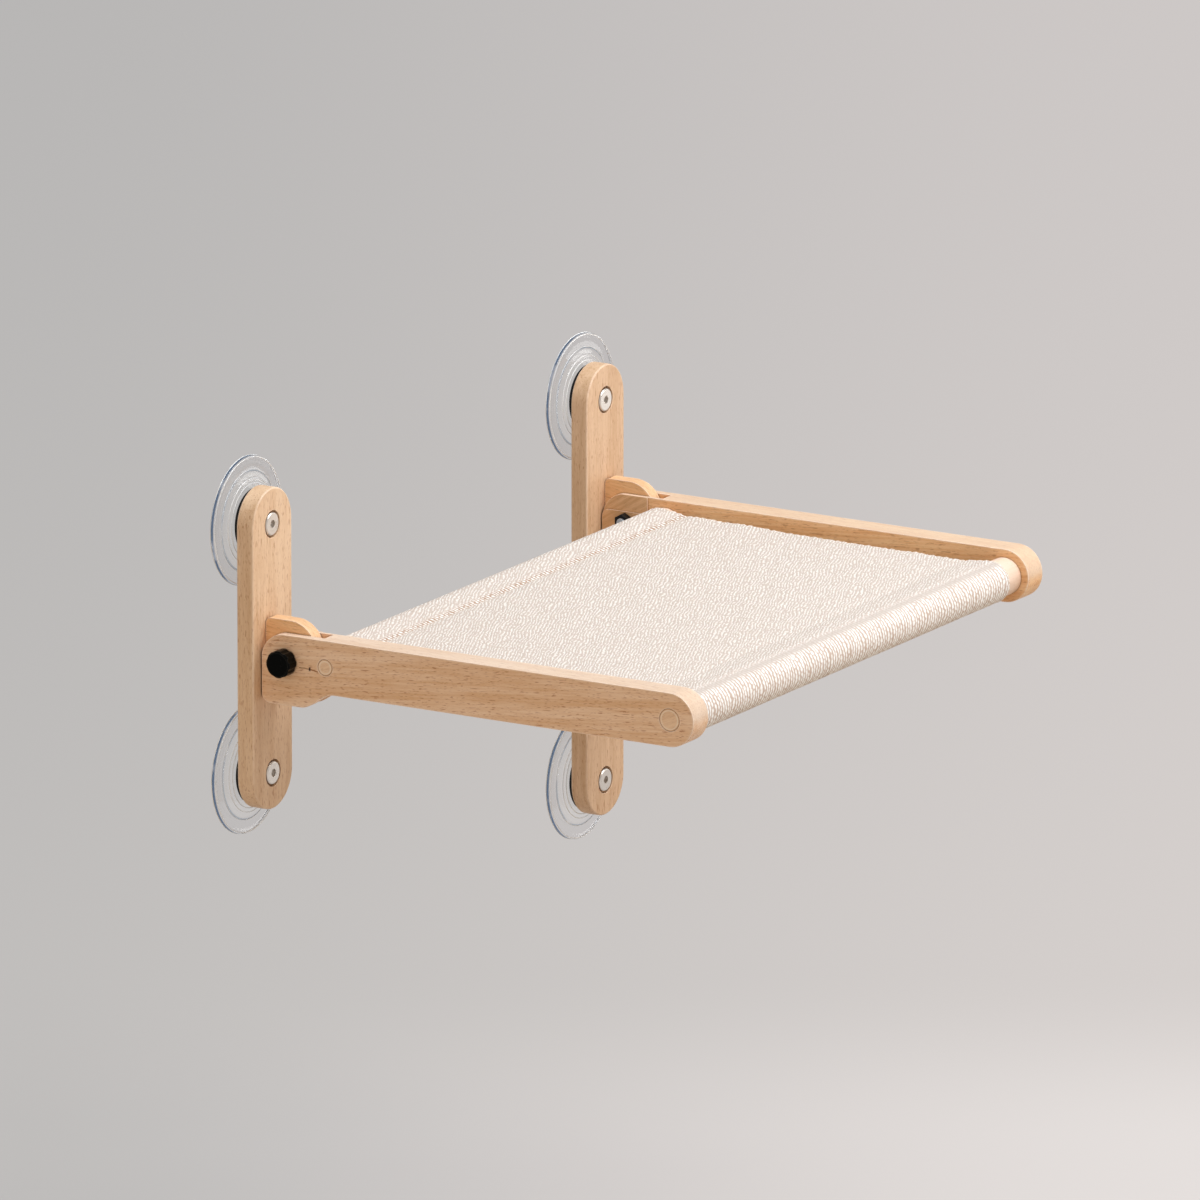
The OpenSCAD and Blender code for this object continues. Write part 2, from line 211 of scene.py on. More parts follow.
def newPiece(name, points, faces, body, material):
    mesh = bpy.data.meshes.new(name)
    mesh.from_pydata([tuple(p) for p in points], [], [tuple(f) for f in faces])
    mesh.validate()
    mesh.polygons.foreach_set("use_smooth", [True] * len(mesh.polygons))
    mesh.materials.append(material)
    piece = addObject(name, mesh)
    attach(piece, body)
    return piece


def circle(count):
    turns = [2 * math.pi * i / count for i in range(count)]
    return [(math.cos(t), math.sin(t)) for t in turns]


def tubeFaces(rings, sides, closed, strips=None, first=0):
    # Faces of a tube whose points go ring by ring; an open profile has fewer strips than sides
    corners = ((0, 0), (0, 1), (1, 1), (1, 0))
    return [
        tuple(first + (i + di) % rings * sides + (k + dk) % sides for di, dk in corners)
        for i in range(rings if closed else rings - 1) for k in range(strips or sides)
    ]


def sidesOf(part):
    # The left and the right node of a part, or the one node that has its name
    return [side + part for side in ("left_", "right_") if side + part in nodes] or [part]


# Camera, floor and lights

cameraSpot = {
    "aim": (-0.0976, -0.200, 0.0341),
    "azimuth": -59.2,
    "elevation": 14.47,
    "distance": 14.0,
    "lens": 650.4,
}


def placeCamera(spot):
    data = bpy.data.cameras.new("camera")
    data.lens = spot["lens"]
    data.clip_start = 1
    data.clip_end = 60
    camera = addObject("camera", data)
    turn, rise = math.radians(spot["azimuth"]), math.radians(spot["elevation"])
    back = Vector((math.sin(turn) * math.cos(rise), -math.cos(turn) * math.cos(rise), math.sin(rise)))
    camera.location = Vector(spot["aim"]) + back * spot["distance"]
    camera.rotation_euler = (-back).to_track_quat("-Z", "Y").to_euler()
    bpy.context.scene.camera = camera


floorLook = {
    "height": -0.42,
    "size": 60,
    "lit": "C0B4A6",      # colour that the lamps light, which takes the shadow
    # left and right are a painted gradient of light across the floor, and near a painted pool of light by the
    # object
    "left": "C2C2C3",     # colours that are shown as they are, from one side of the floor to the other
    "right": "DAD6D6",
    "near": "F8F4F4",
    "shownShare": 0.8,
    "sideways": (0.512, -0.859, 0),
    "sideSpan": (-0.40, 0.66),
    "inwards": (0.859, 0.512, 0),
    "nearSpan": (0.56, 0.12),
    "nearShare": 0.62,
    "nearStart": -0.03,
}


def backgroundRays(tree):
    path = addNode(tree, "LightPath").outputs
    seen = sums(tree, "MAXIMUM", path["Is Camera Ray"], path["Is Transmission Ray"])
    return sums(tree, "MAXIMUM", seen, path["Is Glossy Ray"])


def makeFloor(look):
    half = look["size"] / 2
    mesh = bpy.data.meshes.new("floor")
    corners = [(-half, -half), (half, -half), (half, half), (-half, half)]
    mesh.from_pydata([(x, y, look["height"]) for x, y in corners], [], [(0, 1, 2, 3)])
    made, tree, shader = newMaterial("floor", Roughness=0.9, Specular_IOR_Level=0.1)
    shader["Base Color"].default_value = colour(look["lit"])
    point = objectPoint(tree)
    # Painted light: paler towards one side and in a pool near the object
    side = remap(tree, dot(tree, point, look["sideways"]), *look["sideSpan"])
    near = remap(tree, dot(tree, point, look["inwards"]), *look["nearSpan"])
    growing = sums(tree, "MULTIPLY_ADD", side, look["nearShare"], look["nearStart"], clamp=True)
    paintedLightMask = times(tree, near, growing)
    across = blendColours(tree, side, colour(look["left"]), colour(look["right"]))
    shown = addNode(tree, "Emission")
    wire(tree, shown.inputs["Color"], tinted(tree, paintedLightMask, across, look["near"]))
    mixed = addNode(tree, "MixShader")
    wire(tree, mixed.inputs["Fac"], times(tree, backgroundRays(tree), look["shownShare"]))
    tree.links.new(tree.nodes["Principled BSDF"].outputs["BSDF"], mixed.inputs[1])
    tree.links.new(shown.outputs["Emission"], mixed.inputs[2])
    tree.links.new(mixed.outputs["Shader"], tree.nodes["Material Output"].inputs["Surface"])
    mesh.materials.append(made)
    addObject("floor", mesh)


worldLook = {"shown": "C8C6C4", "lit": "C6B9A8", "light": 0.66}

lampTable = {
    "key": {"at": (0.5, -1.55, 1.75), "size": 1.4, "power": 38, "colour": (1.0, 1.0, 1.0)},
    "overhead": {"at": (-0.1, -0.4, 2.2), "size": 1.6, "power": 23, "colour": (0.80, 0.91, 1.0)},
    "leftFill": {"at": (-2.4, -0.6, 0.5), "size": 1.6, "power": 9, "colour": (1.0, 0.84, 0.68)},
    "rightCard": {"at": (2.0, -1.5, -0.05), "size": 1.0, "power": 7, "colour": (1.0, 0.99, 0.97)},
}


def lightScene(lamps, world):
    for name, look in lamps.items():
        data = bpy.data.lights.new(name, "AREA")
        data.size = look["size"]
        data.energy = look["power"]
        data.color = look["colour"]
        lamp = addObject(name, data)
        lamp.location = look["at"]
        aim = Vector((0, -0.15, 0)) - lamp.location
        lamp.rotation_euler = aim.to_track_quat("-Z", "Y").to_euler()
    made = bpy.data.worlds.new("studio")
    made.use_nodes = True
    bpy.context.scene.world = made
    tree = made.node_tree
    sky = tree.nodes["Background"]
    # What shows behind the object is one even grey, whatever the lamps give
    shown = backgroundRays(tree)
    wire(tree, sky.inputs["Color"], blendColours(tree, shown, colour(world["lit"]), colour(world["shown"])))
    wire(tree, sky.inputs["Strength"], remap(tree, shown, 0.0, 1.0, world["light"], 1.0, smooth=False))


bpy.context.scene.view_settings.view_transform = "Standard"
placeCamera(cameraSpot)
makeFloor(floorLook)
lightScene(lampTable, worldLook)
print("stage: camera, floor and lights")


# Shared effects

def beechGrainGroup():
    tree, given, made = newGroup(
        "beech grain",
        [
            ("Point", "v", None), ("Turn", "v", (0, 0, 0)), ("Shift", "v", (0, 0, 0)),
            ("Light", "c", colour("EBC49E")), ("Dark", "c", colour("D2A478")),
            ("Fleck", "c", colour("9C6B42")), ("Streaks", "f", 0.5), ("Flecks", "f", 0.6),
        ],
        [("Color", "c"), ("Roughness", "f"), ("Height", "f")],
    )
    # Millimetres, turned so that the grain runs along the third axis
    place = addNode(tree, "Mapping")
    wire(tree, place.inputs["Vector"], given["Point"])
    wire(tree, place.inputs["Rotation"], given["Turn"])
    place.inputs["Scale"].default_value = (1000, 1000, 1000)
    spot = vectorSums(tree, "ADD", place.outputs["Vector"], given["Shift"])

    def stretched(factor):
        return scaled(tree, spot, (1, 1, factor))

    broad = noise(tree, stretched(0.035), 0.11, detail=3, roughness=0.6)
    streak = noise(tree, stretched(0.05), 0.55, detail=3, roughness=0.65)
    fine = noise(tree, stretched(0.09), 2.4, detail=2, roughness=0.6)
    # Two sizes of the short brown flecks of beech
    large = remap(tree, noise(tree, stretched(0.17), 1.0, detail=1, roughness=0.4), 0.63, 0.72)
    small = remap(tree, noise(tree, stretched(0.14), 1.8, detail=1, roughness=0.4), 0.62, 0.73)
    fleck = sums(tree, "MAXIMUM", large, times(tree, small, 0.8))

    tone = sums(tree, "ADD", times(tree, broad, 0.5), times(tree, streak, 0.5))
    tone = remap(tree, tone, 0.36, 0.66)
    tone = times(tree, tone, given["Streaks"])
    tone = sums(tree, "MULTIPLY_ADD", remap(tree, fine, 0.35, 0.7), 0.2, tone, clamp=True)
    base = blendColours(tree, tone, given["Light"], given["Dark"])
    marked = blendColours(tree, times(tree, fleck, given["Flecks"]), base, given["Fleck"])
    wire(tree, made["Color"], marked)
    wire(tree, made["Roughness"], remap(tree, streak, 0.3, 0.7, 0.44, 0.56))
    low = sums(tree, "MULTIPLY_ADD", fleck, -0.6, times(tree, fine, -0.5))
    wire(tree, made["Height"], low)
    return tree


def edgeWearAndHighlightGroup():
    # Wear along the edges, which also serves as a painted highlight there
    tree, given, made = newGroup(
        "edge wear and highlight",
        [("Point", "v", None), ("Radius", "f", 0.001), ("Amount", "f", 1.0)],
        [("Mask", "f")],
    )
    rounded = addNode(tree, "Bevel")
    rounded.samples = 4
    wire(tree, rounded.inputs["Radius"], given["Radius"])
    surface = addNode(tree, "NewGeometry").outputs["Normal"]
    bend = dot(tree, rounded.outputs["Normal"], surface)
    edge = remap(tree, bend, 0.997, 0.88)
    patchy = remap(tree, noise(tree, given["Point"], 260.0, detail=3), 0.3, 0.7, 0.45, 1.0)
    wire(tree, made["Mask"], times(tree, times(tree, edge, patchy), given["Amount"]))
    return tree


def rimHighlightGroup():
    # Painted highlight along the eased edge round each broad face, and painted light on what looks up or
    # forwards
    # Axis is the way that the broad faces look
    tree, given, made = newGroup(
        "rim highlights and lit faces",
        [("Point", "v", None), ("Axis", "v", (0, 1, 0)), ("Amount", "f", 1.0)],
        [("Mask", "f"), ("Lit", "f")],
    )
    surface = addNode(tree, "TexCoord").outputs["Normal"]
    tilt = sums(tree, "ABSOLUTE", dot(tree, surface, given["Axis"]))
    edge = times(tree, remap(tree, tilt, 0.08, 0.30), remap(tree, tilt, 0.995, 0.95))
    patchy = remap(tree, noise(tree, given["Point"], 200.0, detail=3), 0.3, 0.7, 0.6, 1.0)
    lit = remap(tree, dot(tree, surface, (0, -0.6, 0.8)), 0.40, 0.75)
    rim = times(tree, times(tree, edge, patchy), given["Amount"])
    wire(tree, made["Mask"], rim)
    wire(tree, made["Lit"], lit)
    return tree


def paintedCreaseShadeGroup():
    # Painted shade: narrow places where two faces meet are darkened, where shade falls
    tree, given, made = newGroup("paintedCreaseShade", [("Reach", "f", 0.002), ("Amount", "f", 0.6)], [("Mask", "f")])
    hidden = addNode(tree, "AmbientOcclusion")
    hidden.samples = 6
    wire(tree, hidden.inputs["Distance"], given["Reach"])
    closed = remap(tree, hidden.outputs["AO"], 0.72, 0.25)
    wire(tree, made["Mask"], times(tree, closed, given["Amount"]))
    return tree


def markGroup():
    # A thin mark along the grain on a face that looks along X
    # From and To are places along the grain, in millimetres
    tree, given, made = newGroup(
        "thin mark",
        [
            ("Point", "v", None), ("From", "f", 0.0), ("To", "f", 10.0),
            ("Height", "f", 0.0), ("Slope", "f", 0.0), ("Thickness", "f", 0.3),
        ],
        [("Mask", "f")],
    )
    spot = splitPoint(tree, scaled(tree, given["Point"], (1000, -1000, 1000)))
    out, up = spot["Y"], spot["Z"]
    bend = minus(tree, noise(tree, given["Point"], 300.0, detail=1), 0.5)
    gone = minus(tree, out, given["From"])
    line = sums(tree, "MULTIPLY_ADD", gone, given["Slope"], given["Height"])
    off = sums(tree, "ABSOLUTE", minus(tree, up, sums(tree, "MULTIPLY_ADD", bend, 0.8, line)))
    thin = remap(tree, off, given["Thickness"], times(tree, given["Thickness"], 0.4))
    middle = times(tree, sums(tree, "ADD", given["From"], given["To"]), 0.5)
    half = minus(tree, given["To"], middle)
    away = sums(tree, "ABSOLUTE", minus(tree, out, middle))
    ends = remap(tree, away, half, minus(tree, half, 0.4))
    wire(tree, made["Mask"], times(tree, thin, ends))
    return tree


def rimShadeAndHighlightGroup():
    # The rim of a round part that lies along X: a painted shade in the dark gap, and a painted highlight on a
    # paler ring inside it
    tree, given, made = newGroup(
        "rim shade and highlight",
        [("Point", "v", None), ("Middle", "v", (0, 0, 0)), ("Radius", "f", 0.005)],
        [("Dark", "f"), ("PaintedHighlight", "f")],
    )
    away = vectorSums(tree, "SUBTRACT", given["Point"], given["Middle"])
    out = vectorSums(tree, "LENGTH", scaled(tree, away, (0, 1000, 1000)))
    inset = minus(tree, times(tree, given["Radius"], 1000), out)
    wire(tree, made["Dark"], remap(tree, inset, 0.6, 0.25))
    paintedLightMask = times(tree, remap(tree, inset, 0.6, 0.95), remap(tree, inset, 1.9, 1.3))
    wire(tree, made["PaintedHighlight"], paintedLightMask)
    return tree


def handledGroup():
    # Faint smears and specks that break up an even gloss
    tree, given, made = newGroup(
        "handled surface",
        [("Point", "v", None), ("Scale", "f", 90.0), ("Gloss", "f", 0.35), ("Spread", "f", 0.15)],
        [("Roughness", "f"), ("Height", "f"), ("Mask", "f")],
    )
    smear = noise(tree, given["Point"], given["Scale"], detail=4, roughness=0.6)
    speck = noise(tree, given["Point"], times(tree, given["Scale"], 14.0), detail=2)
    lift = times(tree, remap(tree, smear, 0.3, 0.7), given["Spread"])
    wire(tree, made["Roughness"], sums(tree, "ADD", given["Gloss"], lift))
    wire(tree, made["Height"], speck)
    wire(tree, made["Mask"], remap(tree, speck, 0.66, 0.74))
    return tree


def yarnStrokeGroup():
    # Raised strokes of thick yarn, with painted shade in the gaps between them
    # Cloth is a place in millimetres, X from stroke to stroke and Y along a stroke
    tree, given, made = newGroup(
        "yarn strokes",
        [
            ("Cloth", "v", None), ("Pitch", "f", 3.0), ("Length", "f", 10.0), ("Wander", "f", 1.5),
            ("Breaks", "f", 0.6), ("Cross Pitch", "f", 3.0), ("Cross", "f", 0.3), ("Full", "f", 0.72),
            ("Yarn", "c", colour("F6EDE4")), ("Gap", "c", colour("C9AF9A")),
        ],
        [("Color", "c"), ("Height", "f")],
    )
    def wave(turn):
        return sums(tree, "MULTIPLY_ADD", sums(tree, "COSINE", turn), 0.5, 0.5)

    spot = splitPoint(tree, given["Cloth"])
    across, along = spot["X"], spot["Y"]
    drawn = scaled(tree, given["Cloth"], (1.0, 0.65, 1.0))
    slow = minus(tree, noise(tree, drawn, 0.085, detail=1), 0.5)
    quick = minus(tree, noise(tree, drawn, 0.33, detail=1), 0.5)
    stray = sums(tree, "MULTIPLY_ADD", quick, 1.0, times(tree, slow, 2.6))
    place = sums(tree, "MULTIPLY_ADD", stray, given["Wander"], across)
    count = sums(tree, "DIVIDE", place, given["Pitch"])
    ridge = wave(times(tree, count, 2 * math.pi))

    stroke = flatPoint(tree, count, sums(tree, "DIVIDE", along, given["Length"]))
    whole = remap(tree, noise(tree, stroke, 1.3, detail=1), 0.34, 0.56)
    broken = times(tree, given["Breaks"], minus(tree, 1.0, whole))
    kept = minus(tree, 1.0, broken)

    # The crossing yarn shows between every other pair of strokes
    number = sums(tree, "FLOOR", sums(tree, "ADD", count, 0.5))
    turn = sums(tree, "DIVIDE", times(tree, along, 2 * math.pi), given["Cross Pitch"])
    dip = wave(sums(tree, "MULTIPLY_ADD", number, math.pi, turn))
    crossed = times(tree, given["Cross"], dip)
    kept = times(tree, kept, minus(tree, 1.0, crossed))
    fuzz = minus(tree, noise(tree, given["Cloth"], 1.7, detail=3, roughness=0.7), 0.5)
    height = sums(tree, "MULTIPLY_ADD", fuzz, 0.5, times(tree, ridge, kept))
    # Painted shade: the low places between the yarns take the darker colour
    covered = remap(tree, height, 0.10, given["Full"])
    wire(tree, made["Color"], blendColours(tree, covered, given["Gap"], given["Yarn"]))
    wire(tree, made["Height"], height)
    return tree


beechGrain = beechGrainGroup()
edgeWearAndHighlight = edgeWearAndHighlightGroup()
rimHighlights = rimHighlightGroup()
paintedCreaseShade = paintedCreaseShadeGroup()
thinMark = markGroup()
rimShadeAndHighlight = rimShadeAndHighlightGroup()
handled = handledGroup()
yarnStrokes = yarnStrokeGroup()
print("stage: shared effects")


# Wood

quarter = math.pi / 2
grainTurns = {"up": (0, 0, 0), "out": (quarter, 0, 0), "across": (0, -quarter, 0)}
rimAxes = {"up": (0, 1, 0), "out": (1, 0, 0), "across": (1, 0, 0)}

# rub is how far the paler wood reaches in from an edge, in millimetres
# The other amounts set the painted highlight on the eased rims, the painted shade in narrow creases and the
# painted light on faces that look up or forwards
uprightWearAndPaintedLight = {"rub": 0.9, "wear": 0.4, "rim": 0.3, "creaseShade": 0.4, "paintedTopLight": 0.0}
armWearAndPaintedLight = {"rub": 2.0, "wear": 0.8, "rim": 0.85, "creaseShade": 0.75, "paintedTopLight": 0.5}
woodLooks = {
    "upright": {
        "light": "EECFAF", "dark": "D9B28B", "fleck": "A8683A", "streaks": 0.7, "flecks": 0.55, "lean": 1,
        **uprightWearAndPaintedLight,
    },
    # A darker, warmer copy of the upright's wood: painted shade on the far upright
    "shadedUpright": {
        "light": "E6C4A3", "dark": "CEA67F", "fleck": "A8683A", "streaks": 0.7, "flecks": 0.5, "lean": -1,
        **uprightWearAndPaintedLight,
    },
    "arm": {
        "light": "FCDDC2", "dark": "E6BA90", "fleck": "A65A28", "streaks": 0.85, "flecks": 0.62, "lean": 5,
        **armWearAndPaintedLight,
    },
    # A warmer, more orange copy of the arm's wood: painted shade on the far arm
    "shadedArm": {
        "light": "FDD4A6", "dark": "E8B07A", "fleck": "A65A28", "streaks": 0.85, "flecks": 0.5, "lean": 5,
        **armWearAndPaintedLight,
    },
    "block": {
        "light": "F5CB9C", "dark": "DBA672", "fleck": "A07048", "streaks": 0.7, "flecks": 0.35, "lean": -6,
        "rub": 1.5, "wear": 0.8, "rim": 0.85, "creaseShade": 0.8, "paintedTopLight": 0.1,
    },
    "plate": {
        "light": "EAC298", "dark": "CF9F70", "fleck": "9C6C44", "streaks": 0.8, "flecks": 0.35, "lean": 32,
        "rub": 1.0, "wear": 0.45, "rim": 0.5, "creaseShade": 0.75, "paintedTopLight": 0.35,
    },
    "dowel": {
        "light": "F8DFCF", "dark": "EACAB0", "fleck": "C49A76", "streaks": 0.6, "flecks": 0.25, "lean": 0,
        "rub": 0.8, "wear": 0.8, "rim": 0.85, "creaseShade": 0.5, "paintedTopLight": 0.0,
    },
    "plug": {
        "light": "FADBBD", "dark": "E1B892", "fleck": "A6764E", "streaks": 0.7, "flecks": 0.3, "lean": 24,
        "rub": 0.3, "wear": 0.0, "rim": 0.0, "creaseShade": 0.25, "paintedTopLight": 0.0,
    },
}
# Tints over the grain: painted light on faces that look up or forwards, rubbed edges that also carry a
# painted highlight, painted shade in creases, and round the plugs a painted highlight on a ring and painted
# shade in the gap
woodTints = {"paintedTopLight": "D5C7BA", "rubbedAndHighlit": "FFECDE", "creaseShade": "6E4528", "ring": "FFF0E0", "gapShade": "B98658"}

woodPieces = {
    "left_upright": ("upright", "up"), "right_upright": ("shadedUpright", "up"),
    "left_arm": ("arm", "out"), "right_arm": ("shadedArm", "out"),
    "hinge_block": ("block", "out"), "inner_plate": ("plate", "out"), "cover_plate": ("plate", "out"),
    "rear_dowel": ("dowel", "across"), "front_dowel": ("dowel", "across"),
    "rear_plugs": ("plug", "out"), "front_plugs": ("plug", "out"),
}
grainShift = (37.0, 53.0, 91.0)   # from each piece's grain to the next one's, in millimetres

# A fine check in the near arm, from the knob to the rear plug
# From, to, height, slope and thickness in millimetres, and its colour
armMarks = [
    (50.0, 57.9, -2.6, 0.02, 0.30, "7C4E2C"),
    (57.2, 59.0, -2.4, 0.0, 1.7, "46291A"),
    (58.6, 64.4, -2.5, -0.19, 0.75, "AA7246"),
]


def markArm(tree, point, base):
    # Only its outer face is marked
    face = -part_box("left_arm")[0].x
    outer = dot(tree, point, (-1, 0, 0))
    seen = remap(tree, outer, face - 0.5 * mm, face - 0.2 * mm)
    for start, end, height, slope, thick, tint in armMarks:
        place = {"From": start, "To": end, "Height": height, "Slope": slope, "Thickness": thick}
        mark = useGroup(tree, thinMark, Point=point, **place)
        base = tinted(tree, times(tree, mark["Mask"], seen), base, tint)
    return base


def markPlugs(tree, point, node, base):
    low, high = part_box(node)
    ring = useGroup(tree, rimShadeAndHighlight, Point=point, Middle=(low + high) / 2, Radius=(high.z - low.z) / 2)
    # Painted highlight on a ring inside each plug's rim, and painted shade in the gap round it
    for mask, tint in (("PaintedHighlight", "ring"), ("Dark", "gapShade")):
        base = tinted(tree, times(tree, ring[mask], 0.6), base, woodTints[tint])
    return base


def woodMaterial(node, look, grain, number):
    made, tree, shader = newMaterial("beech " + node, Specular_IOR_Level=0.5)
    point = objectPoint(tree)
    turn = list(grainTurns[grain])
    turn[0] += math.radians(look["lean"])
    grained = useGroup(
        tree, beechGrain, Point=point, Turn=turn, Shift=[step * number for step in grainShift],
        Light=colour(look["light"]), Dark=colour(look["dark"]), Fleck=colour(look["fleck"]),
        Streaks=look["streaks"], Flecks=look["flecks"],
    )
    rim = useGroup(tree, rimHighlights, Point=point, Axis=rimAxes[grain], Amount=look["rim"])
    wornAndHighlitEdge = useGroup(tree, edgeWearAndHighlight, Point=point, Radius=look["rub"] * mm, Amount=look["wear"])
    # Painted light: faces that look up or forwards are made paler
    lit = times(tree, rim["Lit"], look["paintedTopLight"])
    wood = tinted(tree, lit, grained["Color"], woodTints["paintedTopLight"])
    # Rubbed edges and eased rims are lightened: wear, and a painted highlight along them
    wood = tinted(tree, sums(tree, "MAXIMUM", rim["Mask"], wornAndHighlitEdge["Mask"]), wood, woodTints["rubbedAndHighlit"])
    if node == "left_arm":
        wood = markArm(tree, point, wood)
    if node.endswith("plugs"):
        wood = markPlugs(tree, point, node, wood)
    # Painted shade darkens the wood in narrow creases and where parts meet
    dark = useGroup(tree, paintedCreaseShade, Reach=2.0 * mm, Amount=look["creaseShade"])
    coverWith(tree, shader, tinted(tree, dark["Mask"], wood, woodTints["creaseShade"]), grained, 0.05, 0.6)
    return made


# How wide the edges of each part are eased, in millimetres
edgeEase = {
    "upright": 1.1, "arm": 1.3, "hinge_block": 1.0, "inner_plate": 0.4, "cover_plate": 0.4,
    "rear_plugs": 0.25, "front_plugs": 0.25, "rear_dowel": 0.5, "front_dowel": 0.5,
    "knob": 0.8, "knob_washer": 0.2, "knob_stud": 0.5, "pivot_nut": 0.4,
    "cup_bolts": 0.25, "cup_washers": 1.1,
}


def easeEdges(node, width):
    piece = nodes[node]
    weld = piece.modifiers.new("weld", "WELD")
    weld.merge_threshold = 0.002 * mm
    flat = piece.modifiers.new("flat", "DECIMATE")
    flat.decimate_type = "DISSOLVE"
    flat.angle_limit = math.radians(0.5)
    bevel = piece.modifiers.new("ease", "BEVEL")
    bevel.width = width * mm
    bevel.segments = 3
    bevel.limit_method = "ANGLE"
    bevel.angle_limit = math.radians(32)
    bevel.miter_outer = "MITER_ARC"
    shade = piece.modifiers.new("shade", "WEIGHTED_NORMAL")
    shade.weight = 60


number = 0
for part, (look, grain) in woodPieces.items():
    for node in sidesOf(part):
        number += 1
        nodes[node].material_slots[0].material = woodMaterial(node, woodLooks[look], grain, number)
for part, width in edgeEase.items():
    for node in sidesOf(part):
        easeEdges(node, width)
print("stage: wood")


# Metal, rubber and plastic

# The pair of distances out from the sealing plane, in millimetres, over which the metal goes from bright to
# the painted shade of its recess
metalLooks = {
    "satin nickel": {"colour": "DAD3CB", "gloss": 0.24, "spread": 0.12, "bump": 0.010, "recessShadeDepths": (20.2, 19.7)},
    "zinc": {"colour": "B9BBC0", "gloss": 0.30, "spread": 0.15, "bump": 0.012, "recessShadeDepths": None},
    "brass": {"colour": "C9A560", "gloss": 0.28, "spread": 0.14, "bump": 0.010, "recessShadeDepths": None},
}
metalWearHighlightAndShade = {"scale": 120.0, "rub": 0.4, "edge": "F4F0EC", "recessShade": "BDB5AD"}

darkLooks = {
    "black steel": {
        "colour": "141416", "gloss": 0.32, "spread": 0.12, "bump": 0.02, "metal": 0.6, "shine": 0.5,
    },
    "black rubber": {
        "colour": "0F0F10", "gloss": 0.62, "spread": 0.15, "bump": 0.05, "metal": 0.0, "shine": 0.3,
    },
    "black plastic": {
        "colour": "020201", "gloss": 0.16, "spread": 0.08, "bump": 0.010, "metal": 0.0, "shine": 0.06,
    },
}
darkWearAndHighlight = {"scale": 70.0, "rub": 0.5, "edge": "5C5A55", "speck": "8A8782", "specks": 0.05}


def wornSurface(tree, point, look, wear):
    given = {"Scale": wear["scale"], "Gloss": look["gloss"], "Spread": look["spread"]}
    surface = useGroup(tree, handled, Point=point, **given)
    wornAndHighlitEdge = useGroup(tree, edgeWearAndHighlight, Point=point, Radius=wear["rub"] * mm, Amount=0.5)
    return surface, wornAndHighlitEdge["Mask"]


def metalMaterial(name, look):
    made, tree, shader = newMaterial(name, Metallic=1.0)
    point = objectPoint(tree)
    surface, wornAndHighlitEdge = wornSurface(tree, point, look, metalWearHighlightAndShade)
    # Edges lightened: wear, and a painted highlight
    metal = tinted(tree, wornAndHighlitEdge, colour(look["colour"]), metalWearHighlightAndShade["edge"])
    if look["recessShadeDepths"]:
        # Painted shade darkens the bottom of the recess
        out = times(tree, dot(tree, point, (0, -1, 0)), 1000)
        metal = tinted(tree, remap(tree, out, *look["recessShadeDepths"]), metal, metalWearHighlightAndShade["recessShade"])
    coverWith(tree, shader, metal, surface, look["bump"], 0.7)
    return made


def darkMaterial(name, look):
    made, tree, shader = newMaterial(name, Metallic=look["metal"], Specular_IOR_Level=look["shine"])
    point = objectPoint(tree)
    surface, wornAndHighlitEdge = wornSurface(tree, point, look, darkWearAndHighlight)
    specks = times(tree, surface["Mask"], darkWearAndHighlight["specks"])
    dusty = tinted(tree, specks, colour(look["colour"]), darkWearAndHighlight["speck"])
    # Edges lightened: wear, and a painted highlight on the rim
    coverWith(tree, shader, tinted(tree, wornAndHighlitEdge, dusty, darkWearAndHighlight["edge"]), surface, look["bump"], 0.6)
    return made


nickel, zinc, brass = [metalMaterial(name, look) for name, look in metalLooks.items()]
blackSteel, blackRubber, blackPlastic = [darkMaterial(name, look) for name, look in darkLooks.items()]

hardware = {
    "cup_bolts": nickel, "cup_inserts": brass, "cup_washers": blackRubber,
    "hinge_block_screws": zinc, "dowel_screws": zinc, "hinge_bush": brass,
    "knob": blackPlastic, "knob_washer": blackPlastic, "knob_stud": zinc, "pivot_nut": blackSteel,
}
for part, material in hardware.items():
    for node in sidesOf(part):
        nodes[node].material_slots[0].material = material
print("stage: hardware")


# Suction cups

cupLook = {
    "ior": 1.07,
    "coat": 0.55,
    "coatRoughness": 0.04,
    "turns": 144,
    "cornerSteps": 4,
    "hub": (1.0, 1.0, 1.0, 1.0),       # what each zone lets through
    "flange": (0.92, 0.92, 0.93, 1.0),
    # The step and wall tints are painted refraction: blue where the clear vinyl is seen edge-on
    "step": (0.36, 0.45, 0.57, 1.0),
    "wall": (0.035, 0.075, 0.17, 1.0),
    "wallLight": (0.32, 0.41, 0.56, 1.0),
    # Where the zones are, in millimetres: radii, and a height over the sealing plane
    "hubRadius": 31.5,
    "stepRadii": (32.3, 33.4),
    "stepHeight": 2.2,
    "wallDepth": 0.2,
    # Painted highlights, thin pale rings on the moulded edges: radius, height over the sealing plane and
    # thickness, in millimetres
    # A radius below nought is counted inwards from the cup's rim
    "edges": [
        (-0.10, 0.34, 0.32), (-0.95, 2.74, 0.26), (33.3, 2.66, 0.20), (27.9, 4.55, 0.24), (25.0, 5.42, 0.26),
    ],
    "highlightColours": ((0.75, 0.82, 0.95, 1), (0.98, 0.99, 1, 1)),
    "edgeSides": 6,
}
cupNodes = ["upper_left_cup", "lower_left_cup", "upper_right_cup", "lower_right_cup"]


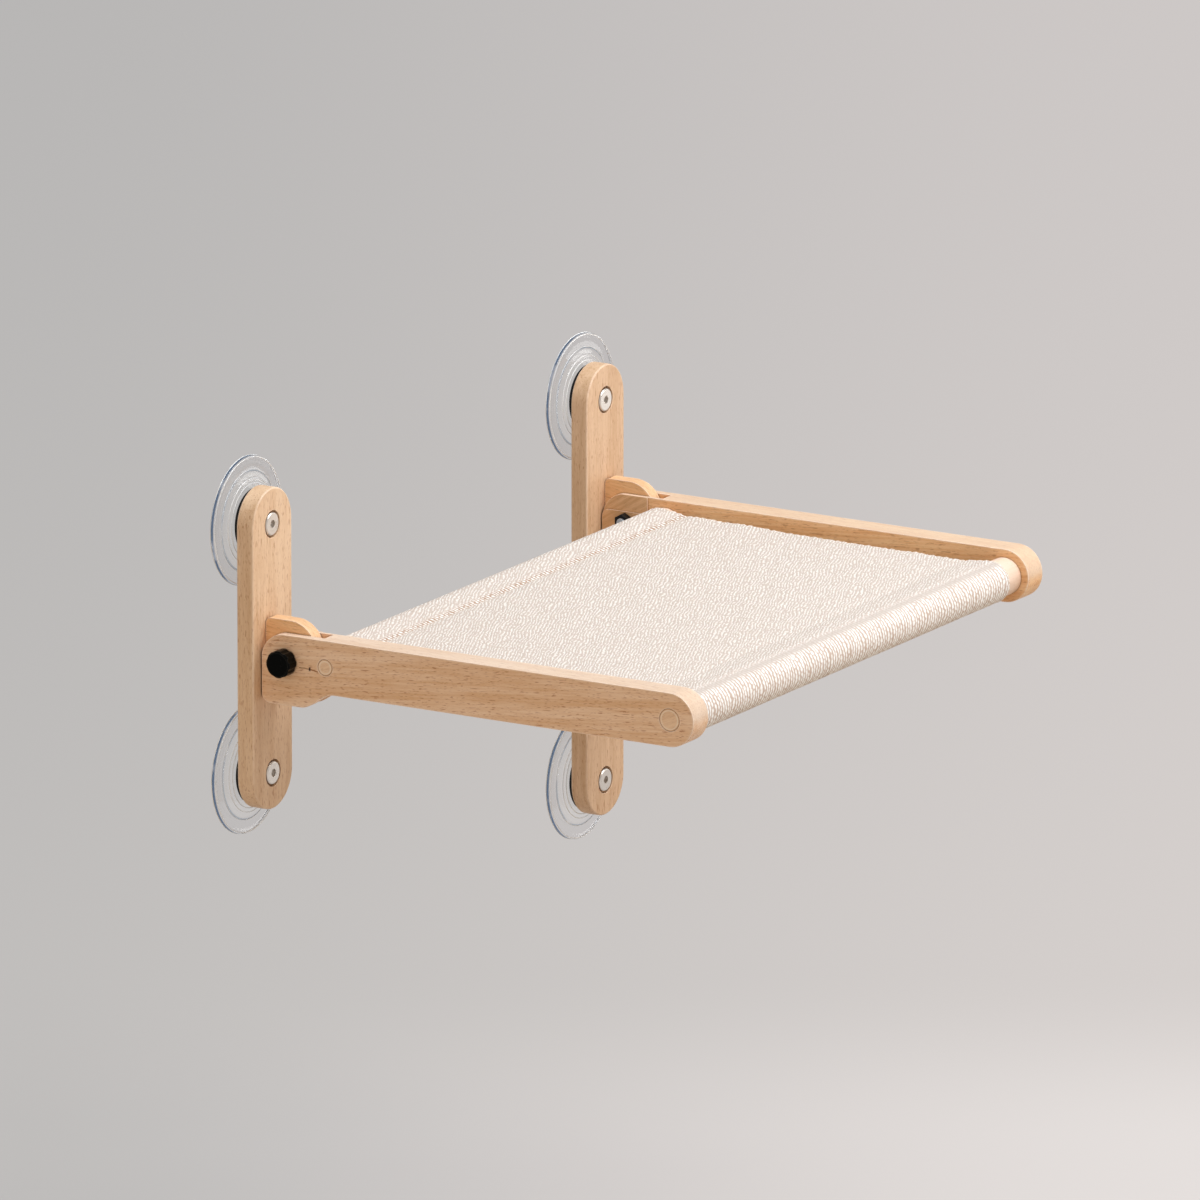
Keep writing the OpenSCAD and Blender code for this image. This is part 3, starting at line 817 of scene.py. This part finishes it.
def vinylMaterial(look):
    made, tree, shader = newMaterial(
        "clear vinyl", Transmission_Weight=1.0, IOR=look["ior"],
        Coat_Weight=look["coat"], Coat_Roughness=look["coatRoughness"],
    )
    point = objectPoint(tree)

    # Painted refraction: the outer wall is deep blue from outside, in patches, and the step behind it
    # blue-grey
    patches = remap(tree, noise(tree, point, 55.0, detail=2), 0.52, 0.66)
    inside = addNode(tree, "NewGeometry").outputs["Backfacing"]
    outside = minus(tree, 1.0, inside)
    wall = times(tree, zoneMask(tree, "wall"), outside)
    uneven = remap(tree, noise(tree, point, 38.0, detail=1), 0.28, 0.48)
    step = times(tree, zoneMask(tree, "step"), uneven)
    clear = blendColours(tree, zoneMask(tree, "hub"), look["flange"], look["hub"])
    clear = blendColours(tree, times(tree, step, outside), clear, look["step"])
    paintedRefraction = blendColours(tree, patches, look["wall"], look["wallLight"])
    wire(tree, shader["Base Color"], blendColours(tree, wall, clear, paintedRefraction))
    surface = useGroup(tree, handled, Point=point, Scale=60.0, Gloss=0.01, Spread=0.04)
    wire(tree, shader["Roughness"], surface["Roughness"])
    wire(tree, shader["Normal"], bumpFrom(tree, noise(tree, point, 30.0, detail=0), 0.03 * mm, 0.4))
    return made


def paintedHighlightMaterial(look):
    # Painted highlights: pale rings on the sharp edges of the clear vinyl, where it would gather light
    made, tree, shader = newMaterial("painted highlight on vinyl edges", Roughness=0.2)
    point = objectPoint(tree)
    broken = remap(tree, noise(tree, point, 42.0, detail=0), 0.30, 0.60, 0.70, 1.0)
    wire(tree, shader["Base Color"], blendColours(tree, broken, *look["highlightColours"]))
    wire(tree, shader["Alpha"], broken)
    return made


vinyl = vinylMaterial(cupLook)
paintedVinylHighlight = paintedHighlightMaterial(cupLook)


def roundCorners(profile, radii, steps):
    # Each inner corner of an open line becomes a short curve
    made = [profile[0]]
    for before, corner, after, r in zip(profile, profile[1:], profile[2:], radii):
        before, corner, after = Vector(before), Vector(corner), Vector(after)
        reach = min(r, (before - corner).length / 2, (after - corner).length / 2)
        start = corner + (before - corner).normalized() * reach
        end = corner + (after - corner).normalized() * reach
        for i in range(steps + 1):
            t = i / steps
            made.append(tuple(start * (1 - t) ** 2 + corner * 2 * t * (1 - t) + end * t ** 2))
    made.append(profile[-1])
    return made


def makeCup(node):
    low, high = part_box(node)
    r = (high.x - low.x) / 2 / mm
    h = (high.y - low.y) / mm
    x, z = (low.x + high.x) / 2, (low.z + high.z) / 2
    # Radius and height in millimetres, with the corner's radius, from the insert's pocket round to the hollow
    corners = [
        (0.0, 1.76, 0), (6.56, 1.76, 0.05), (6.56, 3.05, 0.05), (4.55, 3.05, 0.05), (4.55, h, 0.05),
        (25.3, h, 0.7), (26.3, h - 0.7, 0.5), (27.6, h - 0.8, 0.7), (28.6, 3.65, 0.7), (32.0, 3.4, 0.9),
        (33.0, 2.42, 0.9), (39.2, 2.3, 0.6), (40.1, 2.78, 0.5), (r, 2.8, 1.2), (r, 0.0, 0.3),
        (0.7 * r, 0.0, 3.0), (0.5 * r, 1.0, 3.0), (0.0, 1.0, 0),
    ]
    line, radii = [c[:2] for c in corners], [c[2] for c in corners[1:-1]]
    ring = roundCorners(line, radii, cupLook["cornerSteps"])[1:-1]
    turns, n = cupLook["turns"], len(ring)
    around = circle(turns)
    points = [(x + a * mm * cos, -b * mm, z + a * mm * sin) for cos, sin in around for a, b in ring]
    faces = tubeFaces(turns, n, True, strips=n - 1)
    # The two middles close it on the axis
    points += [(x, -corners[0][1] * mm, z), (x, -corners[-1][1] * mm, z)]
    top, bottom = turns * n, turns * n + 1
    for i in range(turns):
        after = (i + 1) % turns
        faces += [(top, i * n, after * n), (bottom, after * n + n - 1, i * n + n - 1)]
    cup = newPiece(node + "_vinyl", points, faces, "window_side", vinyl)
    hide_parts(node)
    profile = ring * turns + [corners[0][:2], corners[-1][:2]]
    inner, outer = cupLook["stepRadii"]
    zones = {
        "wall": [float(a > r - cupLook["wallDepth"]) for a, b in profile],
        "step": [float(inner < a < outer and b > cupLook["stepHeight"]) for a, b in profile],
        "hub": [float(a < cupLook["hubRadius"]) for a, b in profile],
    }
    for label, values in zones.items():
        cup.data.attributes.new(label, "FLOAT", "POINT").data.foreach_set("value", values)
    makeCupHighlights(node, x, z, r, around)


def makeCupHighlights(node, x, z, r, around):
    points, faces = [], []
    sides = cupLook["edgeSides"]
    for reach, height, thick in cupLook["edges"]:
        faces += tubeFaces(len(around), sides, True, first=len(points))
        reach = reach if reach > 0 else r + reach
        for cos, sin in around:
            for out, up in circle(sides):
                a, b = (reach + thick * out) * mm, (height + thick * up) * mm
                points.append((x + a * cos, -b, z + a * sin))
    newPiece(node + "_painted_highlights", points, faces, "window_side", paintedVinylHighlight)


for node in cupNodes:
    makeCup(node)
print("stage: cups")


# Sling: one cloth, sewn back on itself round each dowel. All its lengths are in millimetres.

slingLook = {
    "clothT": 1.2,
    "panelZ": 10.8,   # the panel's height over the dowels' middles
    "sleeveGap": 0.3,
    "seam": 21.0,   # from a dowel's middle to the seam
    "hem": 8.0,   # cloth past the seam, under the panel
    "flapGap": 0.1,
    "foldWindow": 2.4,
    "rearShift": 3.0,   # how far the cloth's middle is off to the right
    "frontShift": -7.0,
    "rearJoin": (-3, 2),   # where the panel begins, from the seams
    "frontJoin": (-16, 2),
    "frontWeave": (-28, -20),   # where its weave ends, past the front seam
    "flapEnd": 6,
    "stripStart": (6, 14),   # degrees round the front dowel, from its top
    "stripEnd": (-38, -27),
    "grooveTurn": 16,
    "grooveWidth": 8.0,
    "stitchInset": 2.0,
    "stitchWidth": 2.4,
    "ribPitch": 3.7,
    "columnsPerRib": 4,
    "rowStep": 2.4,
    "ribHeight": 0.13,
    "rearDip": 0.7,
    "frontDip": 0.3,
    "dipWidth": 2.6,
    "foldGroove": 0.45,
    "ribWander": 0.5,
    "ribUneven": 0.4,
    "ribLoss": 0.8,   # share of the ribs' height that the strip and the rear sleeve lack
    "stitchRibs": 1.2,
    "sag": 1.0,
    "waviness": 0.12,
    "rippleShare": 0.5,
    "edgeWave": 0.35,
    "edgeReach": 5.0,
    # How many random bends there are along and across the cloth
    "waves": (34, 30),
    "ripples": (70, 62),
    "edgeWaves": (42, 2),
    "ribBends": (50, 40),
    "ribLumps": (60, 100),
    "seed": 11,
}
edgeLook = {
    "radius": 0.8,
    "step": 0.7,
    "sides": 8,
    "stand": 0.25,
    # Length and depth of its waves, of its rise and fall, and of its thick and thin places
    "farScallop": (10.0, 0.8),
    "nearScallop": (4.6, 0.45),
    "rise": (6.1, 0.15),
    "nubs": ((4.6, 0.16), (2 * math.pi / 2.9, 0.08)),
    "colour": "FBF4EC",
    "shadow": "D9C6B6",
}
weaveLooks = {
    "panel": {
        "pitch": 2.35, "length": 5.0, "wander": 2.1, "breaks": 0.8, "crossPitch": 3.2, "cross": 0.25,
        "full": 0.72, "yarn": "F3EEEA", "gapShade": "D3C5BD",
    },
    "sleeve": {
        "pitch": 3.2, "length": 6.0, "wander": 1.9, "breaks": 0.5, "crossPitch": 3.4, "cross": 0.62,
        "full": 0.42, "yarn": "FFFFFF", "gapShade": "CDB9AE",
    },
    "sleeveRelief": 0.55,
    # The plain strip round the front dowel is toned darker: a painted shade over the top of the fold
    "strip": {"tone": "C6BBB4", "amount": 0.8, "relief": 0.35},
    # Painted shade in the low places of the stitched row
    "stitch": {"gapShade": "B08E74", "amount": 0.9},
    "lean": 0.44,
}
dowelLow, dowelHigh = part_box("rear_dowel")
frontLow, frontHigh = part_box("front_dowel")
slingLow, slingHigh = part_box("sling")
dowelR = (dowelHigh.z - dowelLow.z) / 2 / mm
rearF = -(dowelLow.y + dowelHigh.y) / 2 / mm
frontF = -(frontLow.y + frontHigh.y) / 2 / mm


def sleeveLine(look):
    # Middle line of one sleeve from its hem to the panel, from the dowel's axis out towards the panel and up
    ringR = dowelR + look["sleeveGap"] + look["clothT"] / 2
    panelZ = look["panelZ"]
    flapZ = panelZ - look["clothT"] - look["flapGap"]
    reach = math.hypot(look["seam"], flapZ)
    under = math.atan2(flapZ, look["seam"]) - math.acos(ringR / reach)
    top = math.hypot(look["seam"], panelZ)
    over = math.atan2(panelZ, look["seam"]) + math.acos(ringR / top)
    steps = 120
    arc = [under + (over - 2 * math.pi - under) * i / steps for i in range(steps + 1)]
    line = [(look["seam"] + look["hem"], flapZ), (look["seam"], flapZ)]
    line += [(ringR * math.cos(t), ringR * math.sin(t)) for t in arc]
    line += [(look["seam"], panelZ)]
    return line


def resample(line, step=None, count=None):
    line = np.array(line, float)
    gone = np.concatenate([[0], np.cumsum(np.linalg.norm(np.diff(line, axis=0), axis=1))])
    count = count or max(2, round(gone[-1] / step))
    at = np.linspace(0, gone[-1], count + 1)
    return np.stack([np.interp(at, gone, line[:, i]) for i in range(line.shape[1])], 1), at


def smoothNoise(shape, cells, rng):
    # Smooth random values over a grid, from about -1 to 1
    coarse = rng.uniform(-1, 1, (cells[0] + 3, cells[1] + 3))

    def spread(values, count, size):
        at = np.linspace(0, size, count) + 1
        base = np.floor(at).astype(int).clip(1, size)
        t = (at - base)[:, None]
        p0, p1, p2, p3 = (values[base + k] for k in (-1, 0, 1, 2))
        return p1 + 0.5 * t * (p2 - p0 + t * (2 * p0 - 5 * p1 + 4 * p2 - p3 + t * (3 * (p1 - p2) + p3 - p0)))

    return spread(spread(coarse, shape[0], cells[0]).T, shape[1], cells[1]).T


def clothLine(look):
    # Middle line of the whole cloth, evenly spaced, with its distance along and its outward normals
    sleeve = sleeveLine(look)
    line = [(rearF + a, z) for a, z in sleeve] + [(frontF - a, z) for a, z in reversed(sleeve)]
    fineStep = 0.2
    fine = resample(line, step=fineStep)[0]
    window = int(look["foldWindow"] / fineStep) | 1
    kernel = np.hanning(window + 2)[1:-1]
    kernel /= kernel.sum()
    padded = np.pad(fine, ((window // 2,) * 2, (0, 0)), mode="edge")
    smooth = np.stack([np.convolve(padded[:, i], kernel, mode="valid") for i in (0, 1)], 1)
    smooth[0], smooth[-1] = fine[0], fine[-1]
    # The seams pull both layers down
    for seamF, dip in ((rearF + look["seam"], look["rearDip"]), (frontF - look["seam"], look["frontDip"])):
        smooth[:, 1] -= dip * np.exp(-((smooth[:, 0] - seamF) / look["dipWidth"]) ** 2)
    even, at = resample(smooth, step=look["rowStep"])
    if len(even) % 2 == 0:
        even, at = resample(smooth, count=len(even))
    along = np.gradient(even, axis=0)
    along /= np.linalg.norm(along, axis=1)[:, None]
    normals = np.stack([-along[:, 1], along[:, 0]], 1)
    return even, at, normals


def ease(value, low, high):
    t = np.clip((value - low) / (high - low), 0, 1)
    return t * t * (3 - 2 * t)


def clothZones(look, line, at):
    # How far each row is panel, panel weave, hidden flap, plain strip, fold, stitched row and rear sleeve
    half = len(at) // 2
    sleeveLength = at[-1] / 2 - (frontF - rearF - 2 * look["seam"]) / 2
    left = at[-1] - at
    hem, hemEnd = look["hem"], look["hem"] + look["flapEnd"]

    def begins(gone, span):
        return ease(gone, sleeveLength + span[0], sleeveLength + span[1])

    panel = begins(at, look["rearJoin"]) * begins(left, look["frontJoin"])
    flat = begins(at, look["rearJoin"]) * begins(left, look["frontWeave"])
    flap = 1 - ease(at, hem, hemEnd) * ease(left, hem, hemEnd)
    f, z = line[:, 0], line[:, 1]
    turn = np.degrees(np.arctan2(f - frontF, z))
    front = (np.arange(len(at)) > half) * (z > 0)
    strip = front * ease(turn, *look["stripStart"]) * ease(-turn, *look["stripEnd"])
    groove = front * np.exp(-((turn - look["grooveTurn"]) / look["grooveWidth"]) ** 2)
    rear = (np.arange(len(at)) < half) * (1 - flap)
    offSeam = f - rearF - look["seam"] + look["stitchInset"]
    stitch = rear * (z > 5) * np.exp(-(offSeam / look["stitchWidth"]) ** 2)
    return panel, flat, flap, strip, groove, stitch, rear


def makeCloth(look, material):
    line, at, normals = clothLine(look)
    width = (slingHigh.x - slingLow.x) / mm - abs(look["rearShift"] - look["frontShift"])
    columns = round(width / look["ribPitch"]) * look["columnsPerRib"] + 1
    columns -= columns % 2
    u = np.linspace(0, width, columns + 1)
    rows = len(line)
    grid = (rows, columns + 1)
    rng = np.random.default_rng(look["seed"])
    f, z = line[:, 0][:, None], line[:, 1][:, None]
    share = (f - rearF) / (frontF - rearF)
    shift = look["rearShift"] + (look["frontShift"] - look["rearShift"]) * np.clip(share, -0.1, 1.1)
    panel, flat, flap, strip, groove, stitch, rear = clothZones(look, line, at)

    across = u / width
    bay = frontF - rearF - 2 * look["seam"]
    middle = np.clip((f[:, 0] - rearF - look["seam"]) / bay, 0, 1) * (panel > 0)
    belly = (0.55 + 0.45 * np.sin(math.pi * across))[None, :]
    sag = look["sag"] * np.sin(math.pi * middle)[:, None] ** 2 * belly
    wave = smoothNoise(grid, look["waves"], rng)
    wave = wave + look["rippleShare"] * smoothNoise(grid, look["ripples"], rng)
    lift = look["waviness"] * wave * (0.25 + 0.75 * panel[:, None]) * (1 - flap[:, None])
    nearEdge = np.exp(-np.minimum(u, width - u) / look["edgeReach"])[None, :]
    lift = lift + look["edgeWave"] * smoothNoise(grid, look["edgeWaves"], rng) * nearEdge * panel[:, None]

    # Ribs stand out where the cloth is bent round the front dowel, and in the stitched row at the back
    phase = (u[None, :] + look["ribWander"] * smoothNoise(grid, look["ribBends"], rng)) / look["ribPitch"]
    ribs = 0.5 + 0.5 * np.cos(2 * math.pi * phase)
    loss = look["ribLoss"]
    strength = (1 - flat) * (1 - flap) * (1 - loss * strip) * (1 - loss * rear) + look["stitchRibs"] * stitch
    uneven = 1 + look["ribUneven"] * smoothNoise(grid, look["ribLumps"], rng)
    rib = look["ribHeight"] * ribs * strength[:, None] * uneven - look["foldGroove"] * groove[:, None]

    half = look["clothT"] / 2
    nf, nz = normals[:, 0][:, None], normals[:, 1][:, None]

    def place(offset, extra):
        x = u[None, :] - width / 2 + shift
        thick = offset + extra
        return np.stack([x + 0 * thick, -(f + nf * thick), z + nz * thick - sag + 0 * x], 2) * mm

    outer = place(half, lift + rib)
    inner = place(-half, lift)[::2, ::2]
    zones = {"flatWeave": np.maximum(flat, rear) * (1 - stitch), "strip": strip, "stitch": stitch}
    cloth = finishCloth(outer, inner, u, at, zones, material)
    return cloth, place(0, lift), at, width


def finishCloth(outer, inner, u, at, zones, material):
    rows, columns = outer.shape[:2]
    innerRows, innerColumns = inner.shape[:2]
    top = np.arange(rows * columns).reshape(rows, columns)
    low = rows * columns + np.arange(innerRows * innerColumns).reshape(innerRows, innerColumns)

    def quads(grid, turned):
        a, b, c, d = grid[:-1, :-1], grid[:-1, 1:], grid[1:, 1:], grid[1:, :-1]
        order = (a, d, c, b) if turned else (a, b, c, d)
        return np.stack([v.ravel() for v in order], 1).tolist()

    faces = quads(top, False) + quads(low, True)

    def border(outerEdge, innerEdge, turned):
        for k in range(len(innerEdge) - 1):
            rim = [outerEdge[2 * k + i] for i in range(3)] + [innerEdge[k + 1], innerEdge[k]]
            faces.append(rim if turned else rim[::-1])

    border(top[0], low[0], False)
    border(top[-1], low[-1], True)
    border(top[:, 0], low[:, 0], True)
    border(top[:, -1], low[:, -1], False)
    points = np.concatenate([outer.reshape(-1, 3), inner.reshape(-1, 3)])
    cloth = newPiece("sling_cloth", points.tolist(), faces, "sling_frame", material)
    mesh = cloth.data

    # The weave follows the flat cloth: metres across and along, and the zones that each place is in
    def byRow(values):
        return np.concatenate([np.repeat(values, columns), np.repeat(values[::2], innerColumns)])

    flatU, flatV = np.concatenate([np.tile(u, rows), np.tile(u[::2], innerRows)]), byRow(at)
    corner = np.zeros(len(mesh.loops), int)
    mesh.loops.foreach_get("vertex_index", corner)
    flat = mesh.uv_layers.new(name="flatCloth")
    flat.data.foreach_set("uv", (np.stack([flatU[corner], flatV[corner]], 1) * mm).ravel())
    for label, zone in zones.items():
        mesh.attributes.new(label, "FLOAT", "POINT").data.foreach_set("value", byRow(zone))
    return cloth


def makeEdge(name, path, at, scallop, outward, look, material):
    # A thick yarn along one edge of the cloth, in waves
    seam = slingLook["hem"] + slingLook["flapEnd"]
    kept = (at > seam) & (at < at[-1] - seam)
    line = resample(np.concatenate([path[kept] / mm, at[kept][:, None]], 1), step=look["step"])[0]
    place = line[:, 3]
    wave = np.abs(np.sin(math.pi * place / scallop[0])) - 0.5
    line[:, 0] += outward * (look["stand"] + scallop[1] * wave)

    def swing(length, depth):
        return depth * np.sin(2 * math.pi * place / length)

    line[:, 2] += swing(*look["rise"])
    radius = look["radius"] * (1 + sum(swing(*nub) for nub in look["nubs"]))
    spine = line[:, :3]
    along = np.gradient(spine, axis=0)
    along /= np.linalg.norm(along, axis=1)[:, None]
    side = np.cross(along, np.array([1.0, 0.0, 0.0]))
    side /= np.linalg.norm(side, axis=1)[:, None]
    lift = np.cross(side, along)
    sides, rings = look["sides"], len(spine)
    loops = [spine + radius[:, None] * (side * cos + lift * sin) for cos, sin in circle(sides)]
    points = np.stack(loops, 1).reshape(-1, 3) * mm
    faces = tubeFaces(rings, sides, False)
    faces += [tuple(range(sides))[::-1], tuple((rings - 1) * sides + k for k in range(sides))]
    return newPiece(name, points.tolist(), faces, "sling_frame", material)


def clothMaterial(weaves):
    made, tree, shader = newMaterial(
        "cream cloth", Roughness=0.95, Specular_IOR_Level=0.12, Sheen_Weight=0.2, Sheen_Roughness=0.5,
    )
    flat = addNode(tree, "UVMap")
    flat.uv_map = "flatCloth"
    spot = splitPoint(tree, scaled(tree, flat.outputs["UV"], (1000, 1000, 0)))
    u, v = spot["X"], spot["Y"]

    def weave(spot, given):
        return useGroup(
            tree, yarnStrokes, Cloth=spot, Pitch=given["pitch"], Length=given["length"],
            Wander=given["wander"], Breaks=given["breaks"], Cross=given["cross"], Full=given["full"],
            Yarn=colour(given["yarn"]), Gap=colour(given["gapShade"]), **{"Cross Pitch": given["crossPitch"]},
        )

    # On the panel and round the rear dowel the strokes run across, with a lean
    # Round the front dowel they follow the ribs
    flatWeave = weave(flatPoint(tree, sums(tree, "MULTIPLY_ADD", u, weaves["lean"], v), u), weaves["panel"])
    bentWeave = weave(flatPoint(tree, u, v), weaves["sleeve"])
    panel, strip, stitch = [zoneMask(tree, label) for label in ("flatWeave", "strip", "stitch")]
    woven = blendColours(tree, panel, bentWeave["Color"], flatWeave["Color"])
    # Painted shade darkens the low places of the stitched row
    stitchShade = times(tree, stitch, remap(tree, bentWeave["Height"], 0.5, 0.15))
    stitchShade = times(tree, stitchShade, weaves["stitch"]["amount"])
    woven = tinted(tree, stitchShade, woven, weaves["stitch"]["gapShade"])
    # Painted shade tones down the plain strip on the front sleeve
    paintedStripShade = times(tree, strip, weaves["strip"]["amount"])
    wire(tree, shader["Base Color"], tinted(tree, paintedStripShade, woven, weaves["strip"]["tone"]))
    mixed = addNode(tree, "Mix")
    wire(tree, mixed.inputs["Factor"], panel)
    wire(tree, mixed.inputs[2], times(tree, bentWeave["Height"], weaves["sleeveRelief"]))
    wire(tree, mixed.inputs[3], flatWeave["Height"])
    relief = remap(tree, strip, 0.0, 1.0, 1.0, weaves["strip"]["relief"])
    height = times(tree, mixed.outputs[0], relief)
    wire(tree, shader["Normal"], bumpFrom(tree, height, 0.6 * mm, 0.6))
    return made


def edgeMaterial(look):
    made, tree, shader = newMaterial("edge yarn", Roughness=0.95, Specular_IOR_Level=0.12, Sheen_Weight=0.2)
    point = scaled(tree, objectPoint(tree), (1000, 1000, 1000))
    strand = noise(tree, scaled(tree, point, (1.0, 0.4, 1.0)), 1.1, detail=3, roughness=0.6)
    shade = remap(tree, strand, 0.62, 0.34)
    wire(tree, shader["Base Color"], tinted(tree, shade, colour(look["colour"]), look["shadow"]))
    wire(tree, shader["Normal"], bumpFrom(tree, strand, 0.4 * mm, 0.8))
    return made


cream = clothMaterial(weaveLooks)
cloth, clothMiddle, clothAt, clothWidth = makeCloth(slingLook, cream)
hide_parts("sling")
edgeYarn = edgeMaterial(edgeLook)
for side, column, outward in (("near", 0, -1), ("far", -1, 1)):
    path, scallop = clothMiddle[:, column], edgeLook[side + "Scallop"]
    makeEdge("sling_edge_" + side, path, clothAt, scallop, outward, edgeLook, edgeYarn)
print("stage: sling,", round(clothWidth), "by", round(float(clothAt[-1])), "mm of cloth")
